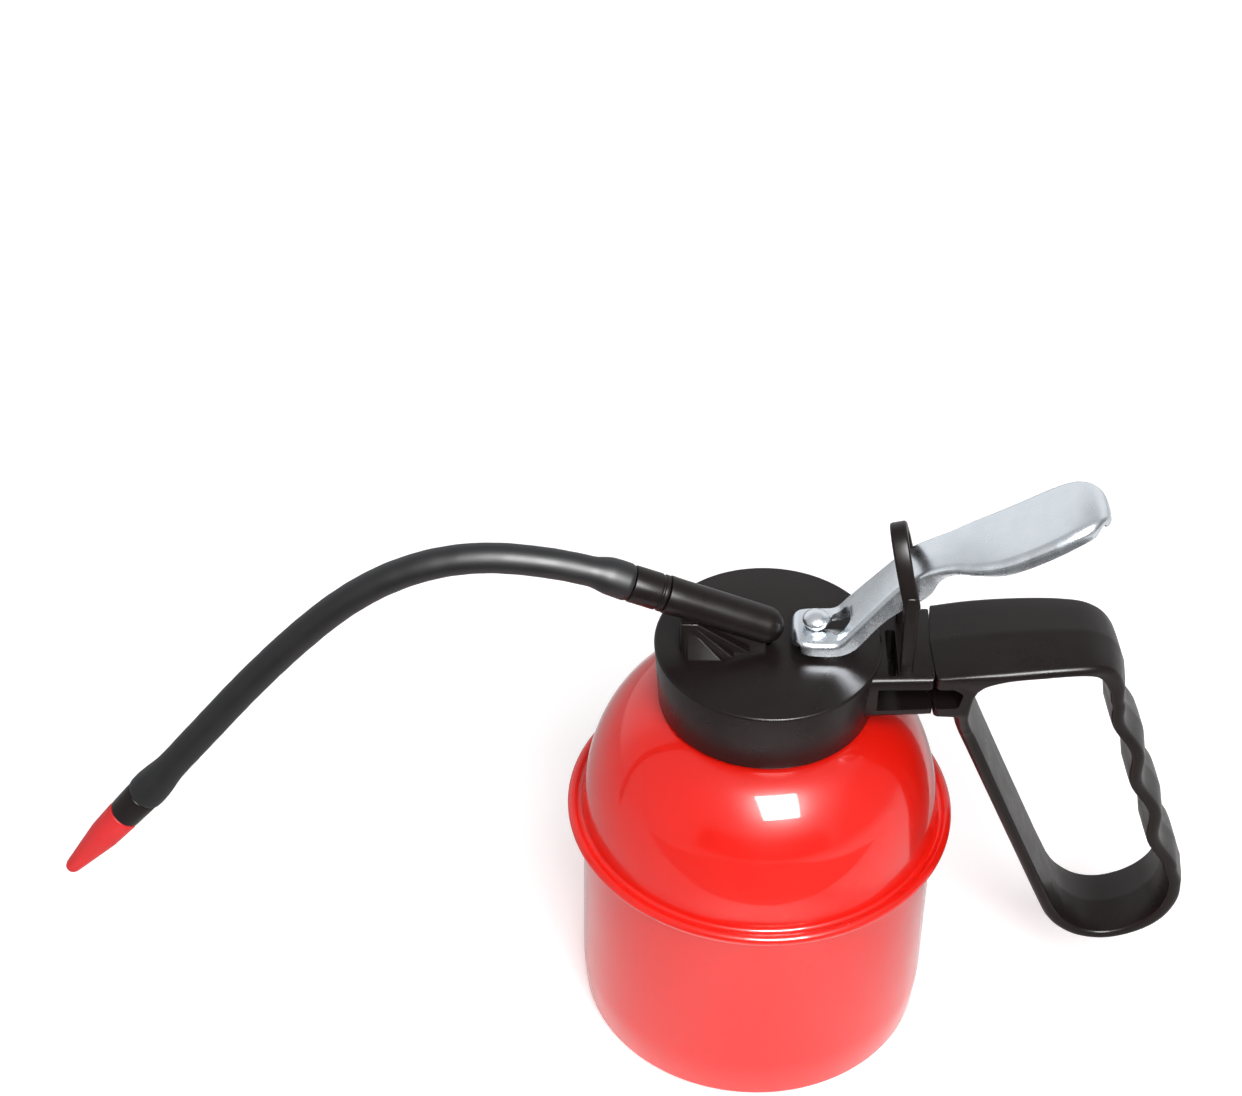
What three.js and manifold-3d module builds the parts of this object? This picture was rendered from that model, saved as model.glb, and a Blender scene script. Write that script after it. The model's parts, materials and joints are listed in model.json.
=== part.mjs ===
// Thumb-lever pump oil can: a red painted steel can with a black moulded pump head, D-loop handle,
// plated steel lever, vertical lift pump and a bent spout tube.
// Millimetres, +Z up, origin at the middle of the flat base, +X towards the handle, -X along the spout.
import * as THREE from "three";
import { mergeVertices } from "three/addons/utils/BufferGeometryUtils.js";
import Module from "manifold-3d";

const wasm = await Module();
wasm.setup();

// ---- driving dimensions ----
const GAP = 0.3; // clearance between pieces that meet
const FINE = 36; // facets round the can
const ROUND = 20; // facets round a small turned piece

// can
const BASE_R = 42.6;
const BODY_R = 43.4;
const RIM_R = 47.5;
const SEAM_Z = 61.2;
const WALL = 0.8;
const DOME_FOOT_Z = 62;
const DOME_CENTRE_R = 22;
const DOME_RISE = 34.8;
const NECK_IN_R = 21.4;
const NECK_OUT_R = 22.9;
const NECK_Z = 97.2;
const NECK_TOP_Z = 109;
const THREAD_R = 23.6;
const THREAD_PITCH = 3;

// cap of the pump head
const CAP_TOP_R = 27.1;
const CAP_FOOT_R = 25.7;
const CAP_IN_R = 24.2;
const CAP_FOOT_Z = 97.1;
const CAP_TOP_Z = 114.4;
const CAP_PLATE = 2.4;
const CAP_UNDER_Z = CAP_TOP_Z - CAP_PLATE;

// barrel: the inclined discharge tube on top of the cap
const BARREL_REAR = new THREE.Vector2(-0.6, 119.5);
const BARREL_TILT = THREE.MathUtils.degToRad(21.3);
const BARREL_R = 4.5;
const BARREL_LENGTH = 25.7;
const BORE_R = 2.9;
const GUSSET_TOP = new THREE.Vector2(-17, 122.4);
const GUSSET_END_X = -21;
const DUCT_X = -0.9; // the duct that rises from the cylinder's port into the barrel
const DUCT_R = 1.7;
const OUTLET_BALL_R = 1.8;

// spout
const CONNECTOR_R = 4.45;
const CONNECTOR_LENGTH = 8.4;
const TUBE_R = 3.65;
const TUBE_BORE_R = 2;
const SLEEVE_R = 4.55;
const SLEEVE_BORE_R = 2.9;
const BARB_R = 2.6;
const BARB_LENGTH = 9;
const NOZZLE_R = 4.3;
const NOZZLE_LENGTH = 8.3;
const TIP_R = 4.1;
const TIP_LENGTH = 25.5;
const TIP_END_R = 1.5;
const PIN_R = 1.5; // the nozzle's pin, which holds the tip
const PIN_LENGTH = 14;
const TUBE_STEPS = 34;

// lever and its fulcrum in the arch
const FULCRUM = new THREE.Vector2(31.8, 135.2);
const FULCRUM_PIN_R = 1.4;
const SHEET = 1.2;
const FOOT_Z = 119.5;
const ARCH_X = 32;
const ARCH_FOOT_Z = 111;
const ARCH_BEND_Z = 133.4; // upright posts below this height, a leaning crown above it
const ARCH_LEAN = THREE.MathUtils.degToRad(13);
const ARCH_IN_R = 7;
const ARCH_OUT_R = 9.9;
const ARCH_RISE = 7; // from the bend to the middle of the crown's round
const POST_THICKNESS = 3.6;
const CROWN_THICKNESS = 3.9;

// lift pump
const PUMP_X = 11;
const ROD_R = 2;
const ROD_HEAD_R = 3.3;
const ROD_HEAD_Z = FOOT_Z + 2.45;
const CYLINDER_R = 8;
const CYLINDER_BORE_R = 6.8;
const CYLINDER_FOOT_Z = 50;
const CYLINDER_TOP_Z = CAP_UNDER_Z - GAP;
const BUSH_FOOT_Z = 105;
const SEAL_FOOT_Z = 102.6;
const PISTON_TOP_Z = 80;
const PORT_Z = 99.6;
const SPRING_FOOT_Z = PISTON_TOP_Z + 0.9;
const SPRING_TOP_Z = SEAL_FOOT_Z - 0.9;
const SPRING_TURNS = 7;
const FOOT_BALL_R = 2.3;
const FOOT_BALL_Z = 58;
const SUCTION_R = 3;
const SUCTION_FOOT_Z = 7;
const STRAINER_R = 4.6;

// handle
const ARM_HALF = 13;
const ARM_JOINT_X = 38.6;
const ARM_TOP_Z = 114.6;
const ARM_FOOT_Z = 101.6;
const ARM_RISE = 1.3; // the arm's underside rises this much to the joint
const ARM_WEB_HALF = 5;
const STRAP_HALF = 10.2;
const GRIP_PALM = 1.5; // strap on each side of the grip's middle line
const GRIP_FINGERS = 1.95;
const GRIP_LEAN = 0.336; // x gained per millimetre down the grip
const WAVE_LENGTH = 19.6; // pitch of the finger waves, down the grip
const WAVE_HEIGHT = 1.2;

// ---- solids ----
function solidOf(geometry) {
  const bare = geometry.clone();
  bare.deleteAttribute("normal");
  bare.deleteAttribute("uv");
  const merged = mergeVertices(bare, 1e-3);
  return new wasm.Manifold(
    new wasm.Mesh({
      numProp: 3,
      vertProperties: merged.attributes.position.array,
      triVerts: new Uint32Array(merged.index.array),
    }),
  );
}

function geometryOf(solid) {
  const mesh = solid.getMesh();
  const geometry = new THREE.BufferGeometry();
  geometry.setAttribute("position", new THREE.BufferAttribute(mesh.vertProperties, 3));
  geometry.setIndex(new THREE.BufferAttribute(mesh.triVerts, 1));
  geometry.computeVertexNormals();
  return geometry;
}

const join = (solids) => solids.reduce((whole, piece) => whole.add(piece));
const cut = (whole, solids) => solids.reduce((left, piece) => left.subtract(piece), whole);

// A turned profile of [radius, height] points, revolved about +Y and facing outwards.
function turned(profile, facets = ROUND) {
  let area = 0;
  profile.forEach(([r, h], i) => {
    const [nextR, nextH] = profile[(i + 1) % profile.length];
    area += r * nextH - nextR * h;
  });
  const ordered = area > 0 ? profile : [...profile].reverse();
  const points = ordered.map(([r, h]) => new THREE.Vector2(r, h));
  const onAxis = ordered.some(([r]) => r === 0);
  if (!onAxis) points.push(points[0].clone());
  return new THREE.LatheGeometry(startOnAxis(points, onAxis), facets);
}

// A profile that touches the axis has to begin and end there.
function startOnAxis(points, onAxis) {
  if (!onAxis) return points;
  const last = points.findIndex((p, i) => p.x === 0 && points[(i + 1) % points.length].x !== 0);
  return [...points.slice(last), ...points.slice(0, last)];
}

const upright = (profile, x = 0, facets = ROUND) =>
  turned(profile, facets).rotateX(Math.PI / 2).translate(x, 0, 0);

const ring = (inR, outR, lowZ, highZ, x = 0, facets = ROUND) =>
  upright([[inR, lowZ], [outR, lowZ], [outR, highZ], [inR, highZ]], x, facets);

const disc = (r, lowZ, highZ, x = 0, facets = ROUND) =>
  upright([[0, lowZ], [r, lowZ], [r, highZ], [0, highZ]], x, facets);

// A turned piece whose axis starts at (x, z) in the middle plane and points along (dx, dz).
function turnedAlong(profile, start, direction, facets = ROUND) {
  const towards = new THREE.Vector3(direction.x, 0, direction.y).normalize();
  const turn = new THREE.Quaternion().setFromUnitVectors(new THREE.Vector3(0, 1, 0), towards);
  return turned(profile, facets).applyQuaternion(turn).translate(start.x, 0, start.y);
}

const block = (x0, x1, y0, y1, z0, z1) =>
  new THREE.BoxGeometry(x1 - x0, y1 - y0, z1 - z0).translate((x0 + x1) / 2, (y0 + y1) / 2, (z0 + z1) / 2);

const shapeOf = (points) => new THREE.Shape(points.map(([a, b]) => new THREE.Vector2(a, b)));

// A side outline of [x, z] points, spread from -half to +half across the object.
function sidePlate(points, half, offset = 0) {
  const settings = { depth: 2 * half, bevelEnabled: false };
  return new THREE.ExtrudeGeometry(shapeOf(points), settings).rotateX(Math.PI / 2).translate(0, half + offset, 0);
}

// A plan outline given as [x, half width] points, mirrored across the middle plane.
function planPlate(halfWidths, lowZ, highZ) {
  const outline = [...halfWidths.map(([x, half]) => [x, -half]), ...[...halfWidths].reverse()];
  return new THREE.ExtrudeGeometry(shapeOf(outline), { depth: highZ - lowZ, bevelEnabled: false })
    .translate(0, 0, lowZ);
}

// A front outline of [y, z] points, spread from x0 to x1.
function frontPlate(points, x0, x1) {
  const basis = new THREE.Matrix4().makeBasis(
    new THREE.Vector3(0, 1, 0), new THREE.Vector3(0, 0, 1), new THREE.Vector3(1, 0, 0));
  return new THREE.ExtrudeGeometry(shapeOf(points), { depth: x1 - x0, bevelEnabled: false, curveSegments: 16 })
    .applyMatrix4(basis).translate(x0, 0, 0);
}

const crossRod = (at, r, half) =>
  new THREE.CylinderGeometry(r, r, 2 * half, 20).translate(at.x, 0, at.y);

function smooth(points, count) {
  const curve = new THREE.SplineCurve(points.map(([x, z]) => new THREE.Vector2(x, z)));
  return curve.getPoints(count).map((p) => [p.x, p.y]);
}

// The same line moved sideways by a distance, to its right when walking along it.
function beside(line, distance) {
  return line.map(([x, z], i) => {
    const [x0, z0] = line[Math.max(i - 1, 0)];
    const [x1, z1] = line[Math.min(i + 1, line.length - 1)];
    const length = Math.hypot(x1 - x0, z1 - z0);
    return [x + ((z1 - z0) / length) * distance, z - ((x1 - x0) / length) * distance];
  });
}

// ---- materials ----
const finish = (color, roughness, metalness = 0) =>
  new THREE.MeshStandardMaterial({ color, roughness, metalness });

const redPaint = finish(0xe01a1a, 0.25, 0.1);
const blackPlastic = finish(0x2c2726, 0.45);
const tubePlastic = finish(0x1c1e20, 0.4);
const redPlastic = finish(0xe23a3a, 0.45);
const zinc = finish(0xd5dbe4, 0.3, 0.9);
const steel = finish(0xb5b8bd, 0.3, 0.9);
const brass = finish(0xc9a24a, 0.35, 0.9);
const rubber = finish(0x181818, 0.8);
const nylon = finish(0xe4e0d4, 0.5);

const can = new THREE.Group();

function add(name, geometry, material) {
  const mesh = new THREE.Mesh(geometry, material);
  mesh.name = name;
  can.add(mesh);
}

// ---- can ----
function canBody() {
  const r = BODY_R;
  return upright([
    [0, 0], [BASE_R - 1.4, 0], [BASE_R - 0.4, 0.4], [BASE_R, 1.6], [r, 8], [r, SEAM_Z - 2.2],
    [RIM_R - 1.4, SEAM_Z - 1.6], [RIM_R - 1.4, SEAM_Z - 0.6], [r - WALL, SEAM_Z - 0.9],
    [r - WALL, 8], [BASE_R - WALL, 2.2], [BASE_R - 2, WALL], [0, WALL],
  ], 0, FINE);
}

function domeLine(inset) {
  const steps = 9;
  const last = THREE.MathUtils.degToRad(86);
  const reach = BODY_R + 0.2 - DOME_CENTRE_R - inset;
  return Array.from({ length: steps + 1 }, (_, i) => {
    const turn = (last * i) / steps;
    return [DOME_CENTRE_R + reach * Math.cos(turn), DOME_FOOT_Z + (DOME_RISE - inset) * Math.sin(turn)];
  });
}

function canDome() {
  const outside = domeLine(0);
  const inside = domeLine(WALL);
  return upright([
    ...outside,
    [NECK_IN_R, NECK_Z - GAP - 0.05],
    [NECK_IN_R, NECK_Z - GAP - 0.9],
    ...inside.reverse(),
    [BODY_R - WALL, SEAM_Z - 0.5],
    [RIM_R - 1.1, SEAM_Z - 0.2],
    [RIM_R - 1.1, SEAM_Z - 2],
    [RIM_R - 0.5, SEAM_Z - 2],
    [RIM_R, SEAM_Z - 1.2],
    [RIM_R, SEAM_Z + 0.1],
    [RIM_R - 0.8, SEAM_Z + 0.9],
    [BODY_R + 1, DOME_FOOT_Z - 0.1],
  ], 0, FINE);
}

function neckRing() {
  const outside = [[NECK_OUT_R, NECK_Z]];
  for (let z = NECK_Z + 2.2; z < NECK_TOP_Z - 1.5; z += THREAD_PITCH) {
    outside.push([NECK_OUT_R, z], [THREAD_R, z + 0.5], [THREAD_R, z + 1], [NECK_OUT_R, z + 1.5]);
  }
  outside.push([NECK_OUT_R, NECK_TOP_Z]);
  return upright([...outside, [NECK_IN_R, NECK_TOP_Z], [NECK_IN_R, NECK_Z]], 0, FINE);
}

add("can_body", canBody(), redPaint);
add("can_dome", canDome(), redPaint);
add("neck_ring", neckRing(), steel);
add("neck_gasket", ring(NECK_IN_R, THREAD_R, NECK_TOP_Z + GAP, CAP_UNDER_Z - GAP, 0, FINE), rubber);

// ---- pump head ----
const barrelDirection = new THREE.Vector2(-Math.cos(BARREL_TILT), Math.sin(BARREL_TILT));
const alongBarrel = (distance) => BARREL_REAR.clone().addScaledVector(barrelDirection, distance);

function capSolid() {
  return solidOf(upright([
    [0, CAP_TOP_Z], [CAP_TOP_R - 0.8, CAP_TOP_Z], [CAP_TOP_R, CAP_TOP_Z - 0.8], [CAP_FOOT_R, CAP_FOOT_Z],
    [CAP_IN_R, CAP_FOOT_Z], [CAP_IN_R, CAP_UNDER_Z], [0, CAP_UNDER_Z],
  ], 0, FINE));
}

function barrelSolid() {
  const r = BARREL_R;
  const rear = [[0, -r + 0.2], [r * 0.6, -r * 0.8], [r * 0.9, -r * 0.42], [r, 0.4]];
  return solidOf(turnedAlong([...rear, [r, BARREL_LENGTH], [0, BARREL_LENGTH]], BARREL_REAR, barrelDirection));
}

// The web under the barrel, and a fan of three wedges that spreads from it down to the cap.
function gussetSolids() {
  const low = CAP_TOP_Z - 1;
  const end = alongBarrel(BARREL_LENGTH - 3.4);
  const web = sidePlate([[BARREL_REAR.x, low], [BARREL_REAR.x, BARREL_REAR.y - 1.5], [end.x, end.y - 1.5],
    [GUSSET_END_X, end.y - 5], [GUSSET_END_X, low]], 2.6);
  const fan = [[-4.3, 4.4, 0], [-8.2, 6.2, 0.8], [-11, 7.3, 1.6]];
  const wedges = fan.map(([footX, half, inset]) => wasm.Manifold.hull([-1, 1].flatMap((side) => [
    [footX, side * half, CAP_TOP_Z], [footX, side * half, low],
    [GUSSET_END_X + inset, side * half, CAP_TOP_Z], [GUSSET_END_X + inset, side * half, low],
    [GUSSET_TOP.x - inset, side * 3.5, GUSSET_TOP.y - inset],
    [GUSSET_END_X + inset, side * 3.5, GUSSET_TOP.y - inset],
  ])));
  return [solidOf(web), ...wedges];
}

// Duct under the cap plate: from the top of the pump cylinder up into the barrel.
const ductBlock = () => solidOf(block(-4.6, PUMP_X - CYLINDER_R - 0.4, -4, 4, 97.4, CAP_UNDER_Z + 0.5));

function ductHoles() {
  const across = new THREE.Vector2(1, 0);
  const reach = PUMP_X - DUCT_X;
  return [
    solidOf(disc(DUCT_R, PORT_Z, BARREL_REAR.y, DUCT_X, 16)),
    solidOf(turnedAlong([[0, 0], [DUCT_R, 0], [DUCT_R, reach], [0, reach]],
      new THREE.Vector2(DUCT_X, PORT_Z), across, 16)),
    solidOf(turnedAlong([[0, 0], [BORE_R, 0], [BORE_R, 30], [0, 30]], alongBarrel(0), barrelDirection, 20)),
  ];
}

// Two upright posts, and a crown that leans from them over the lever.
function archSolids() {
  const arc = (r, from, to) => Array.from({ length: 13 }, (_, i) => {
    const turn = from + ((to - from) * i) / 12;
    return [r * Math.cos(turn), ARCH_RISE + r * Math.sin(turn)];
  });
  const outline = [
    [ARCH_OUT_R, -0.5], ...arc(ARCH_OUT_R, 0, Math.PI), [-ARCH_OUT_R, -0.5],
    [-ARCH_IN_R, -0.5], ...arc(ARCH_IN_R, Math.PI, 0), [ARCH_IN_R, -0.5],
  ];
  const crown = frontPlate(outline, -CROWN_THICKNESS / 2, CROWN_THICKNESS / 2)
    .rotateY(-ARCH_LEAN).translate(ARCH_X, 0, ARCH_BEND_Z);
  const half = POST_THICKNESS / 2;
  const posts = [[-ARCH_OUT_R, -ARCH_IN_R], [ARCH_IN_R, ARCH_OUT_R]].map(([y0, y1]) =>
    block(ARCH_X - half, ARCH_X + half, y0, y1, ARCH_FOOT_Z, ARCH_BEND_Z + 3.4));
  return [crown, ...posts].map(solidOf);
}

function armSolid() {
  const side = [[22, ARM_FOOT_Z], [ARM_JOINT_X, ARM_FOOT_Z + ARM_RISE], [ARM_JOINT_X, ARM_TOP_Z],
    [22, ARM_TOP_Z - 1]];
  const recess = [[27.5, ARM_FOOT_Z + 2.8], [ARM_JOINT_X + 1, ARM_FOOT_Z + ARM_RISE + 2.5],
    [ARM_JOINT_X + 1, ARM_TOP_Z - 3.2], [27.5, ARM_TOP_Z - 3.6]];
  const depth = (ARM_HALF - ARM_WEB_HALF) / 2 + 1;
  const outwards = ARM_WEB_HALF + depth;
  const pocket = block(27.7, 30, -11.4, 11.4, 106, ARM_TOP_Z + 2);
  const tongue = block(31.8, ARM_JOINT_X + 1, -3.1, 3.1, 104.6, 111.4);
  const arm = solidOf(sidePlate(side, ARM_HALF));
  return cut(arm, [
    solidOf(sidePlate(recess, depth, outwards)),
    solidOf(sidePlate(recess, depth, -outwards)),
    solidOf(pocket),
    solidOf(tongue),
  ]);
}

function pumpHead() {
  const threadRoom = solidOf(disc(CAP_IN_R, CAP_FOOT_Z - 8, CAP_UNDER_Z, 0, FINE));
  const arm = armSolid().subtract(threadRoom);
  const body = join([capSolid(), arm, ...archSolids(), barrelSolid(), ductBlock(), ...gussetSolids()]);
  return geometryOf(cut(body, [
    ...ductHoles(),
    solidOf(disc(ROD_R + 0.4, CAP_UNDER_Z - 1, CAP_TOP_Z + 1, PUMP_X)),
    solidOf(crossRod(FULCRUM, FULCRUM_PIN_R + GAP, ARCH_OUT_R - 0.8)),
  ]));
}

add("pump_head", pumpHead(), blackPlastic);
add("fulcrum_pin", crossRod(FULCRUM, FULCRUM_PIN_R, ARCH_OUT_R - 1.2), steel);

// ---- handle ----
// Middle line of the wavy grip at a height, moved towards the fingers (-1) or the palm (+1).
function gripLine(side) {
  const points = [];
  const half = side > 0 ? GRIP_PALM : GRIP_FINGERS;
  for (let z = 106; z >= 48; z -= 2.9) {
    const wave = WAVE_HEIGHT * Math.cos((2 * Math.PI * (z - 88)) / WAVE_LENGTH);
    points.push([82.2 + GRIP_LEAN * (106.7 - z) + wave + side * half, z]);
  }
  return points;
}

function handleSolid() {
  const x0 = ARM_JOINT_X + GAP;
  const outer = [
    [x0, ARM_FOOT_Z + ARM_RISE], [x0, ARM_TOP_Z + 0.4], [47, 116.4], [55, 117.3], [63, 118], [72, 118.4], [77, 118],
    [80.6, 116], [83, 112],
    ...gripLine(1),
    [105.7, 44], [104.8, 35], [100.4, 28.2], [94, 24], [87.5, 22.9], [80, 24.8], [73.5, 30.8], [68.4, 42],
    [44.6, 98.4], [43.7, 103],
  ];
  const hole = [
    [47.3, 100.5], [47.8, 107], [49.6, 111], [53.4, 113.9], [63, 115.2], [72, 115.6], [76.8, 114.6],
    [79.6, 111.2],
    ...gripLine(-1),
    [102.2, 43], [101.2, 36], [97.4, 30], [92.6, 26.8], [87.6, 25.8], [82.2, 27.3], [77, 31.6], [72.6, 39],
  ];
  const ribbon = solidOf(sidePlate(outer, ARM_HALF + 2)).subtract(solidOf(sidePlate(hole, ARM_HALF + 4)));
  const plan = planPlate([[x0, ARM_HALF + 0.2], [55, 13.9], [63, 13.6], [70, 13.1], [75.6, 12.4], [79.6, 11.4],
    [82.6, 10.7], [86, STRAP_HALF], [112, STRAP_HALF]], 10, 125);
  const front = frontPlate([[-STRAP_HALF, 10], [STRAP_HALF, 10], [STRAP_HALF, 88], [ARM_HALF + 1.5, 106],
    [ARM_HALF + 1.5, 125], [-ARM_HALF - 1.5, 125], [-ARM_HALF - 1.5, 106], [-STRAP_HALF, 88]], 30, 120);
  return ribbon.intersect(solidOf(plan)).intersect(solidOf(front));
}

function handle() {
  const depth = (ARM_HALF - ARM_WEB_HALF) / 2 + 1;
  const recess = [[ARM_JOINT_X - 1, ARM_FOOT_Z + ARM_RISE + 2.4], [44.4, ARM_FOOT_Z + ARM_RISE + 2.8],
    [45.6, ARM_TOP_Z - 4],
    [43, ARM_TOP_Z - 2.9], [ARM_JOINT_X - 1, ARM_TOP_Z - 3.2]];
  const tongue = block(32.2, ARM_JOINT_X + 2, -2.8, 2.8, 104.9, 111.1);
  const body = cut(handleSolid(), [
    solidOf(sidePlate(recess, depth, ARM_WEB_HALF + depth)),
    solidOf(sidePlate(recess, depth, -ARM_WEB_HALF - depth)),
  ]);
  return geometryOf(body.add(solidOf(tongue)));
}

add("handle", handle(), blackPlastic);

// ---- lever ----
const leverTop = [
  [5.8, 118.6], [6.6, FOOT_Z], [15.4, FOOT_Z], [16.6, 120.3],
  ...smooth([[18, 122.1], [28.6, 136], [33, 140.1], [37.5, 142.6], [42, 144.2], [46, 145.4], [51, 147.3],
    [56, 150], [62, 153.6], [66, 156], [70, 158], [73, 158.4], [75.4, 157], [76.2, 154.4]], 34),
];
const leverBottom = [
  [75.9, 152.4], [72, 153.4], [68.3, 153.2], [64.2, 150.8], [59.9, 148.1], [55.6, 145.6], [51.2, 143.6],
  [46.6, 143], [42, 142], [38.6, 140.2], [36.2, 137.6], [35.2, 134.6], [33.4, 132], [30.4, 131.4], [28.6, 129.8],
  [25.3, 125.3], [22.1, 119.9], [20, 116.7], [17.7, 115.7], [9, 115.7], [6.6, 116.6],
];
const leverHalf = [
  [5.6, 5.6], [7, 7], [20, 7], [26, 6.2], [34, 6.2], [38, 6.4], [42, 7.3], [46, 9.1], [51, 10.2], [57, 10.6],
  [64, 10.6], [69, 9.7], [73, 7.6], [75.4, 4.6], [76.4, 2.6],
];

function lever() {
  const outside = solidOf(sidePlate([...leverTop, ...leverBottom], 12))
    .intersect(solidOf(planPlate(leverHalf, 110, 162)));
  const under = beside(leverTop.slice(1, -3), SHEET);
  const hollow = solidOf(sidePlate([...under, [73, 140], [60, 120], [40, 110], [3, 110], [3, under[0][1]]], 12))
    .intersect(solidOf(planPlate(leverHalf.slice(1, -1).map(([x, half]) => [x, half - SHEET]), 105, 162)));
  const keyhole = [
    solidOf(block(PUMP_X - 2.7, 15.4, -2.5, 2.5, FOOT_Z - 3, FOOT_Z + 3)),
    solidOf(block(15.2, 18.9, -3.7, 3.7, FOOT_Z - 3, 125)),
  ];
  return geometryOf(cut(outside, [hollow, ...keyhole, solidOf(crossRod(FULCRUM, FULCRUM_PIN_R + 0.1, 12))]));
}

add("lever", lever(), zinc);

// ---- plunger ----
function plungerRod() {
  const r = ROD_HEAD_R;
  const shoulder = Math.sqrt(r * r - 2.3 * 2.3);
  return upright([
    [0, 64], [ROD_R, 64], [ROD_R, ROD_HEAD_Z - shoulder - 0.3], [2.3, ROD_HEAD_Z - shoulder],
    [r * 0.92, ROD_HEAD_Z - r * 0.39], [r, ROD_HEAD_Z], [r * 0.9, ROD_HEAD_Z + 0.8], [r * 0.5, ROD_HEAD_Z + 1.3],
    [0, ROD_HEAD_Z + 1.5],
  ], PUMP_X, 24);
}

const rodBore = ROD_R + GAP;
add("plunger_rod", plungerRod(), zinc);
add("piston_washer", ring(rodBore, 5.6, PISTON_TOP_Z - 1.2, PISTON_TOP_Z, PUMP_X), steel);
add("piston", ring(rodBore, CYLINDER_BORE_R - 0.35, 73, PISTON_TOP_Z - 1.2 - GAP, PUMP_X), brass);
add("piston_cup", upright([[rodBore, 69.8], [5.4, 69.8], [6.5, 72.7], [rodBore, 72.7]], PUMP_X), rubber);
add("piston_nut", ring(rodBore + 0.4, 4, 65.4, 69.5, PUMP_X, 6), steel);

// ---- pump cylinder and valves ----
function pumpCylinder() {
  const tube = solidOf(ring(CYLINDER_BORE_R, CYLINDER_R, CYLINDER_FOOT_Z, CYLINDER_TOP_Z, PUMP_X, 32));
  const port = turnedAlong([[0, 0], [DUCT_R, 0], [DUCT_R, 10], [0, 10]],
    new THREE.Vector2(PUMP_X, PORT_Z), new THREE.Vector2(-1, 0), 16);
  return geometryOf(tube.subtract(solidOf(port)));
}

class Coil extends THREE.Curve {
  constructor(radius, height, turns) {
    super();
    this.radius = radius;
    this.height = height;
    this.turns = turns;
  }

  getPoint(t, target = new THREE.Vector3()) {
    const turn = 2 * Math.PI * this.turns * t;
    return target.set(this.radius * Math.cos(turn), this.radius * Math.sin(turn), this.height * t);
  }
}

function spring(radius, wire, height, turns, sides) {
  const section = new THREE.Shape();
  section.absarc(0, 0, wire, 0, 2 * Math.PI, false);
  return new THREE.ExtrudeGeometry(section, {
    steps: turns * 10,
    curveSegments: sides,
    bevelEnabled: false,
    extrudePath: new Coil(radius, height, turns),
  });
}

add("pump_cylinder", pumpCylinder(), nylon);
add("rod_bush", ring(rodBore, CYLINDER_BORE_R - GAP, BUSH_FOOT_Z, CYLINDER_TOP_Z, PUMP_X), nylon);
add("rod_seal", ring(ROD_R + 0.25, CYLINDER_BORE_R - GAP, SEAL_FOOT_Z, BUSH_FOOT_Z - GAP, PUMP_X), rubber);
add("return_spring",
  spring(4.6, 0.5, SPRING_TOP_Z - SPRING_FOOT_Z, SPRING_TURNS, 2).translate(PUMP_X, 0, SPRING_FOOT_Z), steel);
add("foot_valve_body", upright([
  [1.6, 44], [1.6, 54.5], [2.9, 57], [CYLINDER_BORE_R - GAP, 57], [CYLINDER_BORE_R - GAP, CYLINDER_FOOT_Z - GAP],
  [CYLINDER_R, CYLINDER_FOOT_Z - GAP], [CYLINDER_R, 47.5], [SUCTION_R, 47.5], [SUCTION_R, 46.4], [2, 46.4], [2, 44],
], PUMP_X), nylon);
add("foot_valve_ball",
  new THREE.SphereGeometry(FOOT_BALL_R, 12, 8).rotateX(Math.PI / 2).translate(PUMP_X, 0, FOOT_BALL_Z), steel);
add("ball_stop", ring(1.5, CYLINDER_BORE_R - GAP, 61.4, 62.8, PUMP_X), brass);
add("suction_tube", ring(2.3, SUCTION_R, SUCTION_FOOT_Z, 46.1, PUMP_X, 16), nylon);
add("strainer", ring(SUCTION_R + GAP, STRAINER_R, SUCTION_FOOT_Z - 2, SUCTION_FOOT_Z + 7, PUMP_X, 20), brass);

// ---- outlet valve, inside the barrel ----
const valveSeat = [[1.2, 0], [BORE_R - GAP, 0], [BORE_R - GAP, 3], [1.9, 3], [1.2, 1.6]];
add("outlet_valve_seat", turnedAlong(valveSeat, alongBarrel(5), barrelDirection, 20), brass);
const ballAt = alongBarrel(9);
add("outlet_valve_ball", new THREE.SphereGeometry(OUTLET_BALL_R, 12, 8).translate(ballAt.x, 0, ballAt.y), steel);
const springTurn = new THREE.Quaternion().setFromUnitVectors(
  new THREE.Vector3(0, 0, 1), new THREE.Vector3(barrelDirection.x, 0, barrelDirection.y));
const springAt = alongBarrel(12.2);
add("outlet_valve_spring",
  spring(1.6, 0.3, 3.8, 4, 2).applyQuaternion(springTurn).translate(springAt.x, 0, springAt.y), steel);

// ---- spout ----
const shoulderAt = BARREL_LENGTH + GAP;
const connectorEnd = shoulderAt + CONNECTOR_LENGTH;
const connector = [
  [1.3, -9], [BORE_R - GAP, -9], [BORE_R - GAP, 0], [CONNECTOR_R, 0], [CONNECTOR_R, 0.8],
  [CONNECTOR_R - 0.3, 1.1], [CONNECTOR_R - 0.3, 1.5], [CONNECTOR_R, 1.8], [CONNECTOR_R, CONNECTOR_LENGTH],
  [2.2, CONNECTOR_LENGTH],
  [2.2, CONNECTOR_LENGTH + 1], [BARB_R, CONNECTOR_LENGTH + 1.4], [2, CONNECTOR_LENGTH + BARB_LENGTH - 3],
  [1.3, CONNECTOR_LENGTH + BARB_LENGTH - 3],
];
add("spout_connector", turnedAlong(connector, alongBarrel(shoulderAt), barrelDirection), blackPlastic);

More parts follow.
